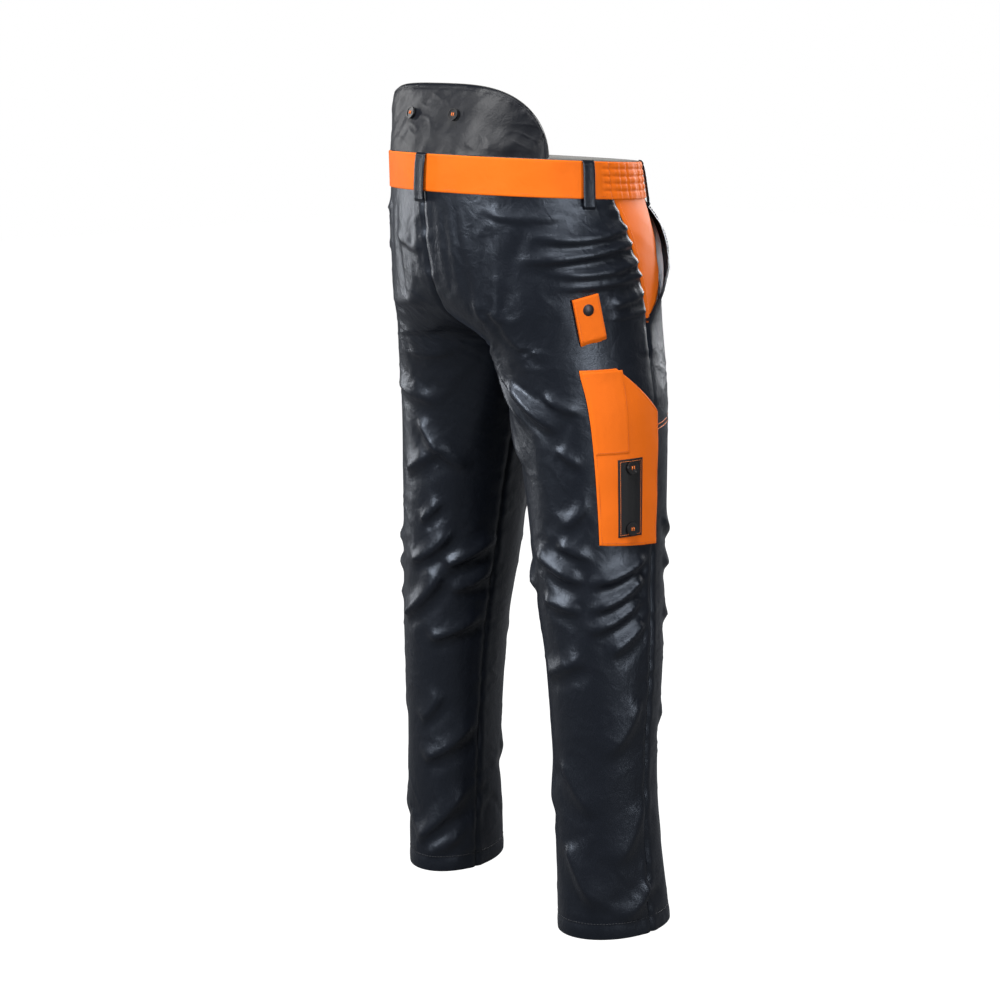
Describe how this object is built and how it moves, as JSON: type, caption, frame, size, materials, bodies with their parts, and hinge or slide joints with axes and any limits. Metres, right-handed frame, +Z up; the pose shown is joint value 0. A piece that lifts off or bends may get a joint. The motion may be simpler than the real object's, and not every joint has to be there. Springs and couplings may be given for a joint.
{
  "type": "chainsaw protective trousers",
  "caption": "Chainsaw protective trousers with a raised kidney flap, brace buttons, slash pockets, a zip fly and a snap tool loop over a thigh tool pocket.",
  "frame": {"origin": "centre of the waist opening, level with the waist edge at centre back", "axes": "+Z up, towards the kidney flap; -Y towards the wearer's front; +X towards the wearer's left"},
  "size_m": [0.4601, 0.3748, 1.151],
  "materials": {
    "black_shell": "satin",
    "orange_fabric": "matte",
    "grey_lining": "matte",
    "pocket_bag": "matte",
    "cut_pad": "matte",
    "flap_foam": "matte",
    "elastic": "matte",
    "orange_thread": "satin",
    "button_plastic": "gloss",
    "patch_fabric": "matte",
    "zip_tape": "matte",
    "dark_metal": "satin"
  },
  "bodies": {
    "hips": {"seat_panel_left": "black_shell", "seat_panel_right": "black_shell", "front_panel_left": "black_shell", "front_panel_right": "black_shell", "hip_bend_left": "black_shell", "hip_bend_right": "black_shell", "hip_pad_left": "cut_pad", "hip_pad_right": "cut_pad", "hips_lining": "grey_lining", "waistband_left": "orange_fabric", "waistband_right": "orange_fabric", "waistband_facing": "grey_lining", "side_elastics": "elastic", "belt_loops": "black_shell", "pocket_facings": "orange_fabric", "pocket_bags": "pocket_bag", "front_brace_buttons": "button_plastic", "front_button_threads": "orange_thread", "fly_shield": "black_shell", "zip_tapes": "zip_tape", "zip_teeth": "dark_metal", "waist_snap_stud": "dark_metal", "loop_strap": "orange_fabric", "loop_snap_stud": "dark_metal"},
    "kidney_flap": {"kidney_flap_outer": "black_shell", "kidney_flap_foam": "flap_foam", "kidney_flap_lining": "grey_lining", "flap_brace_buttons": "button_plastic", "flap_button_threads": "orange_thread"},
    "waist_tab": {"waist_tab": "orange_fabric", "waist_snap_cap": "dark_metal"},
    "fly_flap": {"fly_facing": "black_shell"},
    "zip_slider": {"zip_slider": "dark_metal"},
    "zip_puller": {"zip_puller": "dark_metal"},
    "loop_flap": {"loop_flap": "orange_fabric", "loop_snap_cap": "dark_metal"},
    "thigh_left": {"thigh_back_left": "black_shell", "thigh_front_left": "black_shell", "thigh_pad_left": "cut_pad", "thigh_lining_left": "grey_lining", "knee_bend_left": "black_shell", "knee_pad_left": "cut_pad"},
    "thigh_right": {"thigh_back_right": "black_shell", "thigh_front_right": "black_shell", "thigh_pad_right": "cut_pad", "thigh_lining_right": "grey_lining", "knee_bend_right": "black_shell", "knee_pad_right": "cut_pad", "tool_pocket": "orange_fabric", "rule_pocket": "orange_fabric", "name_patch": "patch_fabric", "patch_buttons": "button_plastic"},
    "shin_left": {"shin_back_left": "black_shell", "shin_front_left": "black_shell", "shin_pad_left": "cut_pad", "shin_lining_left": "grey_lining"},
    "shin_right": {"shin_back_right": "black_shell", "shin_front_right": "black_shell", "shin_pad_right": "cut_pad", "shin_lining_right": "grey_lining"}
  },
  "joints": [
    {"name": "hip_left", "type": "hinge", "parent": "hips", "child": "thigh_left", "pos_m": [0.099, -0.092, -0.24], "axis": [-1, 0, 0], "range_deg": [-15, 90], "deforming": ["hip_bend_left", "hip_pad_left"]},
    {"name": "hip_right", "type": "hinge", "parent": "hips", "child": "thigh_right", "pos_m": [-0.099, -0.092, -0.24], "axis": [-1, 0, 0], "range_deg": [-15, 90], "deforming": ["hip_bend_right", "hip_pad_right", "tool_pocket", "rule_pocket"]},
    {"name": "knee_left", "type": "hinge", "parent": "thigh_left", "child": "shin_left", "pos_m": [0.146, 0.01, -0.595], "axis": [1, 0, 0], "range_deg": [0, 110], "deforming": ["knee_bend_left", "knee_pad_left"]},
    {"name": "knee_right", "type": "hinge", "parent": "thigh_right", "child": "shin_right", "pos_m": [-0.146, 0.01, -0.595], "axis": [1, 0, 0], "range_deg": [0, 110], "deforming": ["knee_bend_right", "knee_pad_right"]},
    {"name": "flap_lean", "type": "hinge", "parent": "hips", "child": "kidney_flap", "pos_m": [0, 0.1715, 0], "axis": [-1, 0, 0], "range_deg": [0, 45]},
    {"name": "loop_open", "type": "hinge", "parent": "hips", "child": "loop_flap", "pos_m": [-0.19637, 0.0317, -0.25234], "axis": [-0.3374, -0.9181, 0.2079], "range_deg": [0, 150]},
    {"name": "tab_open", "type": "hinge", "parent": "hips", "child": "waist_tab", "pos_m": [0.03953, -0.17576, -0.04378], "axis": [0, 0, 1], "range_deg": [0, 80]},
    {"name": "fly_open", "type": "hinge", "parent": "hips", "child": "fly_flap", "pos_m": [0.0364, -0.18586, -0.07243], "axis": [0, 0.1133, 0.9936], "range_deg": [0, 70]},
    {"name": "zip_slide", "type": "slide", "parent": "hips", "child": "zip_slider", "axis": [0, -0.1011, -0.9949], "range_m": [0, 0.09], "deforming": ["zip_teeth"]},
    {"name": "puller_swing", "type": "hinge", "parent": "zip_slider", "child": "zip_puller", "pos_m": [0, -0.17986, -0.08582], "axis": [-1, 0, 0], "range_deg": [0, 5]}
  ]
}
